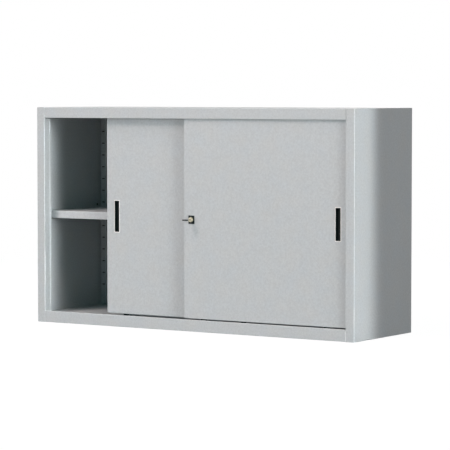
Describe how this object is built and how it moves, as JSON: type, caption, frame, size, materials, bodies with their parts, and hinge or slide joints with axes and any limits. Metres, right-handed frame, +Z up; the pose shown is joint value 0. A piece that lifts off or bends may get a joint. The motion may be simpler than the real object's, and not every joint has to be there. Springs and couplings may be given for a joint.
{
  "type": "sliding door cabinet",
  "caption": "Low wide steel cabinet with two bypass sliding doors on rollers, recessed pulls, a key lock and an adjustable shelf on slotted racks.",
  "frame": {"origin": "middle of the base, in the plane the cabinet stands on, centred between the sides and between the front rails and the back panel", "axes": "+X to the right along the width, +Y from the front to the back, +Z up"},
  "size_m": [1.5, 0.495, 0.88],
  "materials": {
    "carcass_paint": "light grey textured paint, satin",
    "door_paint": "light grey textured paint, satin",
    "shelf_paint": "light grey textured paint, satin",
    "zinc_steel": "zinc plated",
    "dark_steel": "dark plated steel",
    "nickel": "nickel plated",
    "nylon": "natural nylon",
    "black_plastic": "black moulded plastic",
    "pale_plastic": "pale grey moulded plastic",
    "dark_rubber": "dark rubber"
  },
  "bodies": {
    "root": {"left_side_panel": "carcass_paint", "right_side_panel": "carcass_paint", "top_panel": "carcass_paint", "bottom_panel": "carcass_paint", "back_panel": "carcass_paint", "back_stiffener": "carcass_paint", "base_stiffener": "carcass_paint", "top_track": "zinc_steel", "bottom_track": "zinc_steel", "left_front_rack": "carcass_paint", "left_rear_rack": "carcass_paint", "right_front_rack": "carcass_paint", "right_rear_rack": "carcass_paint", "shelf": "shelf_paint", "shelf_stiffener": "shelf_paint", "left_front_shelf_clip": "dark_steel", "left_rear_shelf_clip": "dark_steel", "right_front_shelf_clip": "dark_steel", "right_rear_shelf_clip": "dark_steel", "left_wall_plug": "dark_rubber"},
    "left_door": {"left_door_skin": "door_paint", "left_door_stiffener": "door_paint", "left_door_pull": "black_plastic", "left_door_pull_frame": "pale_plastic", "left_door_left_guide": "nylon", "left_door_right_guide": "nylon", "left_door_left_bracket": "zinc_steel", "left_door_right_bracket": "zinc_steel", "left_door_left_axle": "zinc_steel", "left_door_right_axle": "zinc_steel", "lock_keeper": "zinc_steel"},
    "right_door": {"right_door_skin": "door_paint", "right_door_stiffener": "door_paint", "right_door_pull": "black_plastic", "right_door_pull_frame": "pale_plastic", "right_door_left_guide": "nylon", "right_door_right_guide": "nylon", "right_door_left_bracket": "zinc_steel", "right_door_right_bracket": "zinc_steel", "right_door_left_axle": "zinc_steel", "right_door_right_axle": "zinc_steel", "lock_plate": "black_plastic", "lock_barrel": "nickel", "lock_nut": "zinc_steel"},
    "left_door_left_roller": {"left_door_left_roller": "black_plastic"},
    "left_door_right_roller": {"left_door_right_roller": "black_plastic"},
    "right_door_left_roller": {"right_door_left_roller": "black_plastic"},
    "right_door_right_roller": {"right_door_right_roller": "black_plastic"},
    "lock_plug": {"lock_plug": "nickel", "lock_cam": "zinc_steel", "lock_cam_screw": "zinc_steel"},
    "key": {"lock_key": "dark_steel", "lock_key_bow": "black_plastic"}
  },
  "joints": [
    {"name": "left_door_slide", "type": "slide", "parent": "root", "child": "left_door", "axis": [1, 0, 0], "range_m": [-0.291, 0.3895]},
    {"name": "right_door_slide", "type": "slide", "parent": "root", "child": "right_door", "axis": [1, 0, 0], "range_m": [-0.6805, 0]},
    {"name": "left_door_left_roller_spin", "type": "hinge", "parent": "left_door", "child": "left_door_left_roller", "pos_m": [-0.3295, -0.1855, 0.05725], "axis": [0, 1, 0], "continuous": true},
    {"name": "left_door_right_roller_spin", "type": "hinge", "parent": "left_door", "child": "left_door_right_roller", "pos_m": [0.231, -0.1855, 0.05725], "axis": [0, 1, 0], "continuous": true},
    {"name": "right_door_left_roller_spin", "type": "hinge", "parent": "right_door", "child": "right_door_left_roller", "pos_m": [0.06, -0.2065, 0.05725], "axis": [0, 1, 0], "continuous": true},
    {"name": "right_door_right_roller_spin", "type": "hinge", "parent": "right_door", "child": "right_door_right_roller", "pos_m": [0.6205, -0.2065, 0.05725], "axis": [0, 1, 0], "continuous": true},
    {"name": "lock_turn", "type": "hinge", "parent": "right_door", "child": "lock_plug", "pos_m": [0.006, -0.214, 0.441], "axis": [0, 1, 0], "range_deg": [0, 90]},
    {"name": "key_withdraw", "type": "slide", "parent": "lock_plug", "child": "key", "axis": [0, -1, 0], "range_m": [0, 0.03]}
  ],
  "couplings": [
    {"joint": "left_door_left_roller_spin", "follows": "left_door_slide", "rad_per_m": 71.429},
    {"joint": "left_door_right_roller_spin", "follows": "left_door_slide", "rad_per_m": 71.429},
    {"joint": "right_door_left_roller_spin", "follows": "right_door_slide", "rad_per_m": 71.429},
    {"joint": "right_door_right_roller_spin", "follows": "right_door_slide", "rad_per_m": 71.429}
  ]
}
